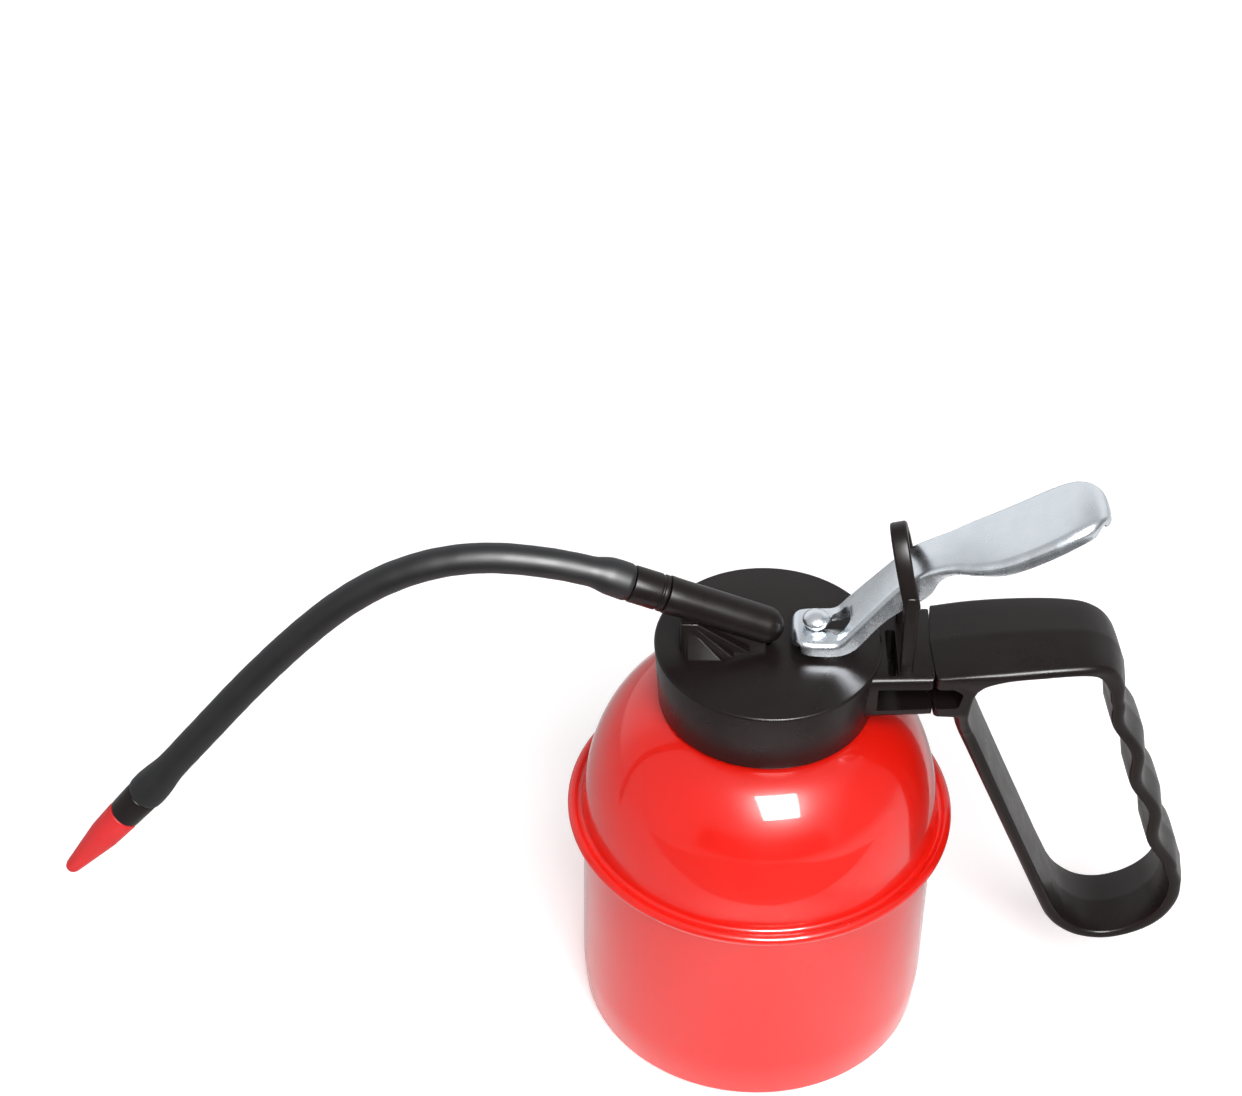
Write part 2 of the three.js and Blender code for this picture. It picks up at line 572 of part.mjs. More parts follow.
const tubeStart = alongBarrel(connectorEnd + GAP);
const tubeRoute = [
  [tubeStart.x, tubeStart.y],
  [tubeStart.x - 6.6, tubeStart.y + 2.65], [-51.5, 137.8], [-65, 139.2], [-77, 137.6], [-88.5, 132.9],
  [-99.5, 125.2], [-110.8, 114], [-123.5, 99], [-136.7, 81.7], [-147.4, 67.5], [-152.5, 61],
];
const tubeCurve = new THREE.CatmullRomCurve3(tubeRoute.map(([x, z]) => new THREE.Vector3(x, 0, z)));
const tubeTail = tubeCurve.getTangentAt(1);
const tailDirection = new THREE.Vector2(tubeTail.x, tubeTail.z);
const tubeEnd = new THREE.Vector2(...tubeRoute.at(-1));
const headTangent = tubeCurve.getTangentAt(0);
const headDirection = new THREE.Vector2(headTangent.x, headTangent.z);

function tubeOf(radius) {
  const section = new THREE.Shape();
  section.absarc(0, 0, radius, 0, 2 * Math.PI, false);
  return solidOf(new THREE.ExtrudeGeometry(section, {
    steps: TUBE_STEPS, curveSegments: 6, bevelEnabled: false, extrudePath: tubeCurve,
  }));
}

function spoutTube() {
  const swell = (full, length) => [
    [0, 0], [SLEEVE_R - 0.3, 0], [SLEEVE_R, 0.6], [SLEEVE_R, full], [SLEEVE_R - 0.3, full + (length - full) * 0.3],
    [TUBE_R + 0.15, full + (length - full) * 0.75], [TUBE_R - 0.1, length], [0, length],
  ];
  const socket = [[0, -1], [SLEEVE_BORE_R, -1], [SLEEVE_BORE_R, BARB_LENGTH], [0, BARB_LENGTH]];
  const back = tailDirection.clone().negate();
  const outside = join([
    tubeOf(TUBE_R),
    solidOf(turnedAlong(swell(4.6, 10), tubeStart, headDirection)),
    solidOf(turnedAlong(swell(4, 12), tubeEnd, back)),
  ]);
  return geometryOf(cut(outside, [
    tubeOf(TUBE_BORE_R),
    solidOf(turnedAlong(socket, tubeStart, headDirection, 20)),
    solidOf(turnedAlong(socket, tubeEnd, back, 20)),
  ]));
}

add("spout_tube", spoutTube(), tubePlastic);

const nozzleAt = tubeEnd.clone().addScaledVector(tailDirection, GAP);
const nozzle = [
  [0.6, -7], [2, -7], [BARB_R, -1.4], [2.2, -0.6], [2.2, 0], [NOZZLE_R, 0], [NOZZLE_R, 1.2],
  [TIP_R, NOZZLE_LENGTH], [PIN_R, NOZZLE_LENGTH], [PIN_R, NOZZLE_LENGTH + PIN_LENGTH],
  [0.6, NOZZLE_LENGTH + PIN_LENGTH],
];
add("tip_nozzle", turnedAlong(nozzle, nozzleAt, tailDirection, 24), blackPlastic);

const tipAt = nozzleAt.clone().addScaledVector(tailDirection, NOZZLE_LENGTH + GAP);
const tip = [
  [PIN_R + 0.35, 0], [TIP_R - 0.1, 0], [TIP_R, 0.8], [TIP_R - 0.25, 8.4], [2.7, 16.4],
  [TIP_END_R + 0.1, TIP_LENGTH - 1.6], [TIP_END_R - 0.6, TIP_LENGTH - 0.4], [0, TIP_LENGTH],
  [0, PIN_LENGTH + 1], [PIN_R + 0.35, PIN_LENGTH + 0.6],
];
add("tip_cap", turnedAlong(tip, tipAt, tailDirection, 24), redPlastic);

export default can;
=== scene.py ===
import json
import math

import bmesh
import bpy
from mathutils import Matrix, Quaternion, Vector

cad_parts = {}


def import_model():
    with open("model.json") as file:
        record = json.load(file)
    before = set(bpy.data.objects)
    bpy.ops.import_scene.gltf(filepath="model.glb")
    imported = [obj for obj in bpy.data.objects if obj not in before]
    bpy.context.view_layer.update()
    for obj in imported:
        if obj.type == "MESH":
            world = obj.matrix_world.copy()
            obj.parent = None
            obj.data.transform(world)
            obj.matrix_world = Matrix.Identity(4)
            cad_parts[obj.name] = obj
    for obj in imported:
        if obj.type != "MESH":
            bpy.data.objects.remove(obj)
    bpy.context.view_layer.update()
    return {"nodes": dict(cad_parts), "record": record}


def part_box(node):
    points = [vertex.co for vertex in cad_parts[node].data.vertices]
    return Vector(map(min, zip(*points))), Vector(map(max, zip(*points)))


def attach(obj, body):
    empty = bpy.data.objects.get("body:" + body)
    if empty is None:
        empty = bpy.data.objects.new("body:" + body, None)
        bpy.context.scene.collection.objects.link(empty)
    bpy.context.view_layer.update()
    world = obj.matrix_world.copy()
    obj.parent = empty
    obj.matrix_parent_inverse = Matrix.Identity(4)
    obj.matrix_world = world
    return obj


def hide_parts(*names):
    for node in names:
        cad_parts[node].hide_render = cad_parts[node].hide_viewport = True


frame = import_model()

# Thumb-lever pump oil can. Lengths below are millimetres in the CAD frame: +Z up, origin at the middle of
# the base, +X towards the handle, the object symmetric about the plane y = 0. Meshes are made in metres.
MM = 0.001
TURN = 2 * math.pi
FINE = 168  # facets round the can and the cap
ROUND = 64  # facets round a small turned piece


def low(node):
    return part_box(node)[0] / MM


def high(node):
    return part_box(node)[1] / MM


# ---- sizes taken from the frame ----
RIM_R = high("can_dome").x
BODY_TOP = high("can_body").z
DOME_TOP = high("can_dome").z
CAP_R = -low("pump_head").y
CAP_FOOT = low("handle").z
NECK_LOW, NECK_HIGH = low("neck_ring").z, high("neck_ring").z
JOINT_X = 38.75  # the plane where the head's arm meets the handle


# ---- outlines ----
def rounded(corners, steps=5):
    """A closed outline of (a, b) or (a, b, radius) corners. A corner with a radius becomes an arc."""
    points = []
    for i, corner in enumerate(corners):
        at = Vector(corner[:2])
        if len(corner) == 2:
            points.append(at)
            continue
        radius = corner[2]
        back = (Vector(corners[i - 1][:2]) - at).normalized()
        on = (Vector(corners[(i + 1) % len(corners)][:2]) - at).normalized()
        half = back.angle(on) / 2
        centre = at + (back + on).normalized() * radius / math.sin(half)
        reach = radius / math.tan(half)
        first, last = at + back * reach - centre, at + on * reach - centre
        start = math.atan2(first.y, first.x)
        sweep = math.remainder(math.atan2(last.y, last.x) - start, TURN)
        points += arc(centre, radius, *(math.degrees(a) for a in (start, start + sweep)), steps)
    return points


def arc(centre, radius, start, end, steps):
    """Points on an arc, with its angles in degrees; radius is one number or (across, up)."""
    across, up = radius if isinstance(radius, tuple) else (radius, radius)
    angles = [math.radians(start + (end - start) * k / steps) for k in range(steps + 1)]
    return [Vector((centre[0] + across * math.cos(a), centre[1] + up * math.sin(a))) for a in angles]


def area(outline):
    return sum(a.x * b.y - b.x * a.y for a, b in zip(outline, outline[1:] + outline[:1])) / 2


def inset(outline, distance):
    """A closed outline moved inwards, with mitred corners."""
    side = math.copysign(distance, area(outline))
    moved = []
    for before, at, after in zip(outline[-1:] + outline[:-1], outline, outline[1:] + outline[:1]):
        back, on = (at - before).normalized(), (after - at).normalized()
        mitre = Vector((-back.y - on.y, back.x + on.x))
        moved.append(at + mitre * side / max(mitre.dot(Vector((-on.y, on.x))), 0.3))
    return moved


def spline(rows, per_span):
    """A smooth line through rows of numbers (Catmull-Rom), with per_span points from each row to the next."""
    ends = [[2 * a - b for a, b in zip(rows[0], rows[1])], [2 * a - b for a, b in zip(rows[-1], rows[-2])]]
    known = [ends[0], *rows, ends[1]]
    line = []
    for p, q, r, s in zip(known, known[1:], known[2:], known[3:]):
        for k in range(per_span):
            t = k / per_span
            line.append([
                0.5 * (2 * b + (c - a) * t + (2 * a - 5 * b + 4 * c - d) * t * t + (3 * b - a - 3 * c + d) * t**3)
                for a, b, c, d in zip(p, q, r, s)
            ])
    return line + [list(rows[-1])]


def ease(value, start, end):
    """0 before start, 1 after end, and smooth between."""
    t = min(max((value - start) / (end - start), 0), 1)
    return t * t * (3 - 2 * t)


# ---- meshes ----
def shade(obj, sharp=32):
    obj.data.shade_smooth()
    obj.data.set_sharp_from_angle(angle=math.radians(sharp))
    return obj


def solid(name, vertices, faces, sharp=32):
    """A mesh object from vertices in millimetres, with its faces turned outwards."""
    mesh = bpy.data.meshes.new(name)
    mesh.from_pydata([Vector(v) * MM for v in vertices], [], faces)
    work = bmesh.new()
    work.from_mesh(mesh)
    bmesh.ops.remove_doubles(work, verts=work.verts, dist=1e-6)
    bmesh.ops.recalc_face_normals(work, faces=work.faces)
    work.to_mesh(mesh)
    work.free()
    obj = bpy.data.objects.new(name, mesh)
    bpy.context.scene.collection.objects.link(obj)
    return shade(obj, sharp)


def lofted(name, sections, closed=False, sharp=32):
    """Joins closed loops of equal length, one to the next, with flat ends unless the loft closes on itself."""
    size, count = len(sections[0]), len(sections)
    faces = []
    for i in range(count if closed else count - 1):
        j = (i + 1) % count
        for k in range(size):
            n = (k + 1) % size
            faces.append((i * size + k, i * size + n, j * size + n, j * size + k))
    if not closed:
        faces += [tuple(range(size)), tuple((count - 1) * size + k for k in range(size))]
    return solid(name, [p for section in sections for p in section], faces, sharp)


def revolved(name, profile, start=(0, 0), direction=(0, 1), facets=FINE, sharp=32):
    """A closed (radius, height) profile turned about a line in the middle plane."""
    along = Vector((direction[0], 0, direction[1])).normalized()
    across = Vector((along.z, 0, -along.x))
    origin = Vector((start[0], 0, start[1]))
    vertices, rows = [], []
    for r, h in profile:
        if r < 1e-6:
            rows.append([len(vertices)] * facets)
            vertices.append(origin + along * h)
            continue
        rows.append(list(range(len(vertices), len(vertices) + facets)))
        for k in range(facets):
            turn = TURN * k / facets
            vertices.append(origin + along * h + across * r * math.cos(turn) + Vector((0, r * math.sin(turn), 0)))
    faces = []
    for a, b in zip(rows, rows[1:] + rows[:1]):
        for k in range(facets):
            n = (k + 1) % facets
            corners = list(dict.fromkeys((a[k], a[n], b[n], b[k])))
            if len(corners) > 2:
                faces.append(corners)
    return solid(name, vertices, faces, sharp)


def slab(name, outline, place, start, end, edge=0.5, sharp=32, steps=3):
    """An outline spread from depth start to end, with rounded rims; place(a, b, depth) gives the point."""
    sections = []
    for k in range(steps + 1):
        turn = math.pi / 2 * k / steps
        sections.append((edge * (1 - math.sin(turn)), start + edge * (1 - math.cos(turn))))
    sections += [(shrink, start + end - depth) for shrink, depth in reversed(sections)]
    return lofted(name, [[place(p.x, p.y, depth) for p in inset(outline, shrink)] for shrink, depth in sections],
                  sharp=sharp)


def side_view(a, b, depth):
    return (a, depth, b)


def plan_view(a, b, depth):
    return (a, b, depth)


def boolean(obj, others, operation, sharp=32):
    """Joins or cuts obj with other solids, which are used up."""
    for other in others:
        step = obj.modifiers.new("boolean", "BOOLEAN")
        step.operation = operation
        step.solver = "MANIFOLD"
        step.object = other
    evaluated = obj.evaluated_get(bpy.context.evaluated_depsgraph_get())
    mesh = bpy.data.meshes.new_from_object(evaluated)
    obj.modifiers.clear()
    obj.data = mesh
    for other in others:
        bpy.data.objects.remove(other)
    return shade(obj, sharp)


def place(obj, body, slot, nodes, surface):
    """Gives a finished piece its material and its body, and hides the CAD nodes that it stands for. The slot is not
    used.
    """
    obj.data.materials.clear()
    obj.data.materials.append(surface)
    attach(obj, body)
    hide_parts(*nodes)
    return obj


# ---- materials ----
class Surface:
    """A Principled material whose colour, roughness and relief vary with noise in object space."""

    def __init__(self, name, color, roughness, **sockets):
        self.material = bpy.data.materials.new(name)
        self.material.use_nodes = True
        self.tree = self.material.node_tree
        self.shader = self.tree.nodes["Principled BSDF"]
        self.shader.inputs["Base Color"].default_value = (*color, 1)
        self.shader.inputs["Roughness"].default_value = roughness
        for socket, value in sockets.items():
            self.shader.inputs[socket.replace("_", " ").title().replace("Ior", "IOR")].default_value = value
        self.place = self.tree.nodes.new("ShaderNodeTexCoord").outputs["Object"]
        self.normal = None

    def link(self, source, target):
        self.tree.links.new(source, target)

    def noise(self, per_mm, detail=3, stretch=(1, 1, 1)):
        """Noise with per_mm lumps to a millimetre, squeezed along the stretched axes."""
        mapping = self.tree.nodes.new("ShaderNodeMapping")
        mapping.inputs["Scale"].default_value = [per_mm / MM * s for s in stretch]
        self.link(self.place, mapping.inputs["Vector"])
        texture = self.tree.nodes.new("ShaderNodeTexNoise")
        texture.inputs["Scale"].default_value = 1
        texture.inputs["Detail"].default_value = detail
        self.link(mapping.outputs["Vector"], texture.inputs["Vector"])
        return texture.outputs["Fac"]

    def ramp(self, factor, low_at, high_at, low_value, high_value):
        node = self.tree.nodes.new("ShaderNodeMapRange")
        for socket, value in (("From Min", low_at), ("From Max", high_at), ("To Min", low_value),
                              ("To Max", high_value)):
            node.inputs[socket].default_value = value
        self.link(factor, node.inputs["Value"])
        return node.outputs["Result"]

    def color(self, factor, first, second):
        mix = self.tree.nodes.new("ShaderNodeMix")
        mix.data_type = "RGBA"
        mix.inputs["A"].default_value = (*first, 1)
        mix.inputs["B"].default_value = (*second, 1)
        self.link(factor, mix.inputs["Factor"])
        self.link(mix.outputs["Result"], self.shader.inputs["Base Color"])

    def roughness(self, factor):
        self.link(factor, self.shader.inputs["Roughness"])

    def relief(self, height, depth_mm, strength=1.0):
        bump = self.tree.nodes.new("ShaderNodeBump")
        bump.inputs["Distance"].default_value = depth_mm * MM
        bump.inputs["Strength"].default_value = strength
        self.link(height, bump.inputs["Height"])
        if self.normal:
            self.link(self.normal, bump.inputs["Normal"])
        self.normal = bump.outputs["Normal"]
        self.link(self.normal, self.shader.inputs["Normal"])


def enamel():
    s = Surface("red_enamel", (0.8, 0.009, 0.003), 0.3, coat_weight=1.0, coat_roughness=0.06, coat_ior=1.45,
                specular_ior_level=0.3)
    s.color(s.ramp(s.noise(0.03), 0.35, 0.65, 0, 1), (0.8, 0.0085, 0.0028), (0.83, 0.0095, 0.0032))
    s.roughness(s.ramp(s.noise(0.05, detail=1), 0.35, 0.65, 0.28, 0.34))
    return s.material


def moulded(name, color, tint, roughness, gloss=0.5):
    s = Surface(name, color, roughness, specular_ior_level=gloss)
    s.color(s.ramp(s.noise(0.12), 0.3, 0.7, 0, 1), color, tint)
    s.roughness(s.ramp(s.noise(0.2, detail=1), 0.3, 0.7, roughness - 0.03, roughness + 0.03))
    return s.material


def plated(name, color, tint, roughness):
    s = Surface(name, color, roughness, metallic=1.0)
    s.color(s.ramp(s.noise(0.25), 0.35, 0.7, 0, 1), color, tint)
    s.roughness(s.ramp(s.noise(0.3), 0.3, 0.7, roughness - 0.03, roughness + 0.04))
    s.relief(s.noise(0.16, detail=1), 0.04, 0.3)
    return s.material


def turned_metal(name, color, tint, roughness):
    s = Surface(name, color, roughness, metallic=1.0)
    s.color(s.ramp(s.noise(0.4), 0.35, 0.65, 0, 1), color, tint)
    s.roughness(s.ramp(s.noise(0.6, stretch=(1, 1, 8)), 0.3, 0.7, roughness - 0.08, roughness + 0.1))
    s.relief(s.noise(0.5, detail=1, stretch=(1, 1, 10)), 0.006, 0.4)
    return s.material


RED = enamel()
BLACK = moulded("black_moulding", (0.011, 0.007, 0.007), (0.014, 0.009, 0.009), 0.3, gloss=0.26)
TUBE = moulded("black_tube", (0.004, 0.004, 0.005), (0.006, 0.0055, 0.007), 0.46, gloss=0.65)
RED_TIP = moulded("red_moulding", (0.78, 0.022, 0.024), (0.72, 0.019, 0.021), 0.42, gloss=0.35)
ZINC = plated("zinc_plate", (0.84, 0.88, 0.92), (0.79, 0.84, 0.89), 0.27)
STEEL = turned_metal("turned_steel", (0.58, 0.58, 0.6), (0.5, 0.5, 0.52), 0.3)
BRASS = turned_metal("turned_brass", (0.72, 0.5, 0.2), (0.62, 0.41, 0.15), 0.32)
RUBBER = moulded("black_rubber", (0.012, 0.012, 0.012), (0.02, 0.02, 0.02), 0.7)
NYLON = moulded("natural_nylon", (0.74, 0.71, 0.62), (0.68, 0.65, 0.56), 0.45)
INNER_SURFACES = {"steel": STEEL, "brass": BRASS, "rubber": RUBBER, "nylon": NYLON, "zinc": ZINC}


# ---- can ----
WALL = 0.8
BODY_R = 43.4
DOME_FOOT = 62.0
DOME_CENTRE_R = 22.0
DOME_REACH = 21.6
DOME_RISE = 34.8
ROLL_R = 1.35


def can_body():
    profile = rounded([
        (0, 0.9), (35.6, 0.9, 1.2), (37.4, 0, 1.2), (42.5, 0, 1.3), (BODY_R, 10, 60), (BODY_R, 59.2, 0.8),
        (45.4, 59.8, 0.2), (45.4, 60.6, 0.2), (BODY_R - WALL, 60.5), (BODY_R - WALL, 10, 59), (41.7, 0.9, 0.8),
        (37.8, 0.9, 1), (36.0, 1.7, 1), (0, 1.7),
    ])
    return revolved("can_body_shell", profile)


def dome_arc(shrink, start, end, steps):
    return arc((DOME_CENTRE_R, DOME_FOOT), (DOME_REACH - shrink, DOME_RISE - shrink), start, end, steps)


def can_dome():
    roll = (RIM_R - ROLL_R, 60.9)
    profile = [
        *dome_arc(0, 86, 6, 56),
        *arc((BODY_R + 1.35, DOME_FOOT + 0.55), 0.95, 195, 285, 5),
        *arc(roll, ROLL_R, 112, -90, 16),
        Vector((RIM_R - 1.75, 59.7)), Vector((RIM_R - 1.75, 60.95)), Vector((BODY_R - WALL, 60.95)),
        *dome_arc(WALL, 0, 84, 40),
        Vector((21.5, 95.9)), Vector((21.5, 96.8)),
    ]
    return revolved("can_dome_shell", profile)


def neck_ring():
    """The threaded neck: a helical ridge that fades out at both ends."""
    inside, core, crest, pitch = 21.4, 22.9, 23.6, 3.0
    levels = 70
    sections = []
    for k in range(FINE):
        turn = k / FINE
        loop = []
        for i in range(levels + 1):
            z = NECK_LOW + (NECK_HIGH - NECK_LOW) * i / levels
            wave = abs(((z - NECK_LOW) / pitch - turn) % 1 - 0.5) * 2
            ridge = ease(1 - wave, 0.45, 0.75) * ease(z, NECK_LOW + 0.8, NECK_LOW + 2.4)
            ridge *= ease(-z, 0.8 - NECK_HIGH, 2.0 - NECK_HIGH) if z > NECK_HIGH - 2 else 1
            loop.append((core + (crest - core) * min(ridge, 1), z))
        loop += [(inside, NECK_HIGH), (inside, NECK_LOW)]
        sections.append([(r * math.cos(TURN * turn), r * math.sin(TURN * turn), z) for r, z in loop])
    return lofted("neck_thread", sections, closed=True)


# ---- pump head ----
CAP_TOP = 114.4
CAP_UNDER = 112.0
BARREL_REAR = Vector((-0.6, 119.5))
BARREL_TILT = math.radians(21.3)
BARREL_R = 4.5
BARREL_LENGTH = 25.7
BARREL_WAY = Vector((-math.cos(BARREL_TILT), math.sin(BARREL_TILT)))
PUMP_X = 11.0
ARM_HALF = 13.0


def along_barrel(distance, drop=0.0):
    """A point in the middle plane at a distance from the barrel's rear, and below its axis."""
    down = Vector((-BARREL_WAY.y, BARREL_WAY.x))
    return BARREL_REAR + BARREL_WAY * distance + down * drop


def cap():
    return revolved("cap_solid", rounded([
        (0, CAP_TOP), (27.1, CAP_TOP, 0.7), (25.7, 97.1, 0.5), (24.2, 97.1, 0.3), (24.2, CAP_UNDER, 0.6),
        (0, CAP_UNDER),
    ]))


def barrel():
    r = BARREL_R
    nose = arc((0, 0.6), (r, r + 0.2), -90, 0, 12)
    profile = nose + rounded([(r, BARREL_LENGTH - 4), (r + 0.1, BARREL_LENGTH, 0.3), (3.2, BARREL_LENGTH, 0.2)])
    return revolved("barrel_solid", [*profile, Vector((0, BARREL_LENGTH))], BARREL_REAR, BARREL_WAY, ROUND * 2)


def hull(name, points, edge):
    """The convex solid round some points, with its edges rounded."""
    mesh = bpy.data.meshes.new(name)
    work = bmesh.new()
    for point in points:
        work.verts.new(Vector(point) * MM)
    bmesh.ops.convex_hull(work, input=work.verts)
    bmesh.ops.dissolve_limit(work, angle_limit=math.radians(1), verts=work.verts, edges=work.edges)
    bmesh.ops.bevel(work, geom=work.edges, offset=edge * MM, segments=3, profile=0.5, affect="EDGES",
                    clamp_overlap=True)
    bmesh.ops.recalc_face_normals(work, faces=work.faces)
    work.to_mesh(mesh)
    work.free()
    obj = bpy.data.objects.new(name, mesh)
    bpy.context.scene.collection.objects.link(obj)
    return shade(obj)


def gussets():
    """The web under the barrel, and a fan of three wedges that spreads from it down to the cap."""
    foot, end_x, top = CAP_TOP - 1, -21.0, Vector((-17.0, 122.4))
    last = along_barrel(BARREL_LENGTH - 3.4, 1.0)
    web = [(BARREL_REAR.x, foot), (BARREL_REAR.x, BARREL_REAR.y - 1.2), tuple(last), (end_x, last.y - 4),
           (end_x, foot)]
    pieces = [slab("web", rounded(web), side_view, -2.8, 2.8, edge=0.3)]
    for k, (foot_x, half) in enumerate(((-4.3, 4.4), (-8.2, 6.2), (-11.0, 7.3))):
        left, high_z = end_x + 0.8 * k, top.y - 0.8 * k
        corners = [(foot_x, half, CAP_TOP), (foot_x, half, foot), (left, half, CAP_TOP), (left, half, foot),
                   (top.x - 0.8 * k, 3.5, high_z), (left, 3.5, high_z)]
        pieces.append(hull(f"wedge_{k}", [(x, side * y, z) for x, y, z in corners for side in (-1, 1)], 0.35))
    return pieces


def arm():
    side = rounded([(20, 101.6), (JOINT_X - 0.15, 102.9), (JOINT_X - 0.15, 114.6), (20, 113.6)])
    beam = slab("arm_solid", side, side_view, -ARM_HALF, ARM_HALF, edge=1.5, steps=4)
    recess = rounded([(25.5, 104.4), (44, 105.6, 0.5), (44, 111.4, 0.5), (25.5, 111.0)])
    pocket = rounded([(27.8, -11.4, 0.8), (30.2, -11.4, 0.8), (30.2, 4.8, 0.8), (27.8, 4.8, 0.8)])
    cuts = [slab("recess", recess, side_view, side * 5, side * 20, edge=0.01) for side in (-1, 1)]
    cuts.append(slab("pocket", pocket, plan_view, 106, 118, edge=0.01))
    cuts.append(slab("tongue_room", rounded([(32.0, 104.6), (41, 104.6), (41, 111.4), (32.0, 111.4)]),
                     side_view, -3.1, 3.1, edge=0.01))
    cuts.append(revolved("thread_room", [Vector((0, 90)), Vector((24.2, 90)), Vector((24.2, CAP_UNDER)),
                                         Vector((0, CAP_UNDER))]))
    return boolean(beam, cuts, "DIFFERENCE")


ARCH_X = 32.0
ARCH_BEND = 133.4  # upright posts below this height, a leaning crown above it
ARCH_LEAN = math.radians(13)
ARCH_IN, ARCH_OUT = 7.0, 9.9


def arch():
    """The arch that guides the lever: two upright posts and a crown that leans from them over the lever."""
    half_depth, inner_centre = 1.95, Vector((0, 6.6))
    lean = Matrix.Rotation(-ARCH_LEAN, 3, "Y")
    base = Vector((ARCH_X, 0, ARCH_BEND))
    side = ARCH_OUT - 0.3
    sections = []
    for outer in [Vector((side, -0.5)), *arc((0, 0), (side, 16.9), 0, 180, 48), Vector((-side, -0.5))]:
        inner = Vector((math.copysign(ARCH_IN, outer.x), outer.y))
        if outer.y > inner_centre.y:
            inner = inner_centre + (outer - inner_centre).normalized() * ARCH_IN
        way, band = (outer - inner).normalized(), (outer - inner).length
        section = rounded([(0, -half_depth, 0.6), (band, -half_depth, 0.6), (band, half_depth, 0.6),
                           (0, half_depth, 0.6)])
        sections.append([base + lean @ Vector((depth, *(inner + way * reach))) for reach, depth in section])
    pieces = [lofted("crown", sections)]
    for y0, y1 in ((-ARCH_OUT, -ARCH_IN), (ARCH_IN, ARCH_OUT)):
        post = rounded([(30.6, 111), (33.6, 111), (33.65, ARCH_BEND + 3.2, 1.4), (30.2, ARCH_BEND + 3.2, 1.0)])
        pieces.append(slab("post", post, side_view, y0, y1, edge=0.5))
    return pieces


def pump_head():
    body = boolean(cap(), [arm(), *arch(), barrel(), *gussets()], "UNION")
    duct = revolved("duct", [Vector((0, 99)), Vector((1.7, 99)), Vector((1.7, 119)), Vector((0, 119))],
                    (-0.9, 0), facets=ROUND)
    bore = revolved("bore", [Vector((0, 3)), Vector((2.9, 3)), Vector((2.9, 30)), Vector((0, 30))],
                    BARREL_REAR, BARREL_WAY, ROUND)
    rod_hole = revolved("rod_hole", rounded([(0, 108), (2.5, 108), (2.5, CAP_TOP - 0.4), (3.2, CAP_TOP + 0.3),
                                             (0, CAP_TOP + 0.3)]), (PUMP_X, 0), facets=ROUND)
    pin_hole = slab("pin_hole", arc((31.8, 135.2), 1.7, 0, 350, 35), side_view, -8.8, 8.8, edge=0.05)
    return boolean(body, [duct, bore, rod_hole, pin_hole], "DIFFERENCE")


# ---- handle ----
CREST = 0.8  # the strap's faces rise this much from their edges to the middle line
STRAP_HALF = 10.2
EDGE_OUT, EDGE_IN = 1.5, 0.9  # rounding of the strap's outer and inner edges


def grip_rows():
    """The wavy grip, a ribbon that swings towards the palm and back."""
    rows = []
    for k in range(47):
        z = 105.2 - (105.2 - 48) * k / 46
        swing = 1.2 * math.cos(TURN * (z - 88) / 19.6) * ease(-z, -106, -101) * ease(z, 44, 50)
        middle = 82.2 + 0.336 * (106.7 - z) + swing
        rows.append([middle + 1.45, z, middle - 1.9, z, STRAP_HALF])
    return rows


def handle_rows():
    """Rows of outer x, z, inner x, z and half width, clockwise round the finger hole from the joint's top."""
    x = JOINT_X + 0.15
    w = STRAP_HALF
    top = spline([
        [x, 115.0, 49.0, 110.6, 13.4], [47.0, 116.3, 51.2, 112.8, 13.8], [55.0, 117.25, 56.2, 114.5, 13.9],
        [63.0, 118.0, 63.0, 115.2, 13.6], [70.0, 118.35, 70.0, 115.6, 13.1], [75.6, 118.1, 74.6, 115.2, 12.4],
        [79.6, 116.6, 77.2, 113.7, 11.4], [82.4, 113.4, 79.0, 111.2, 10.7], [84.0, 109.4, 80.4, 108.2, w + 0.1],
    ], 8)
    bottom = spline([
        [105.8, 44.0, 102.6, 43.6, w], [105.8, 38.2, 102.4, 39.0, w], [103.9, 32.6, 100.8, 34.2, w],
        [100.2, 28.0, 97.6, 30.2, w], [94.6, 24.6, 93.2, 27.3, w], [88.2, 23.0, 88.0, 25.9, w],
        [81.6, 24.0, 82.8, 26.8, w], [76.4, 27.2, 78.2, 30.0, w], [73.0, 31.4, 75.4, 33.6, w],
        [70.6, 36.4, 73.2, 38.2, w],
    ], 7)
    strap = spline([[68.6, 41.0, 71.3, 42.4, w], [56.9, 68.4, 59.8, 69.6, w], [48.0, 89.3, 51.0, 90.8, w + 0.1],
                    [45.6, 95.4, 48.7, 96.4, 11.2], [44.4, 99.4, 47.6, 100.2, 12.4]], 10)
    root = [[43.8, 102.4, 47.4, 102.4, 13.1], [43.1, 102.9, 47.4, 103.0, 13.3], [x, 102.95, 47.5, 104.4, 13.4],
            [x, 103.0, 47.5, 104.5, 13.4], [x, 106.5, 47.8, 106.6, 13.4], [x, 110.6, 48.2, 108.8, 13.4],
            [x, 114.95, 48.95, 110.5, 13.4]]
    return top + grip_rows() + bottom + strap + root


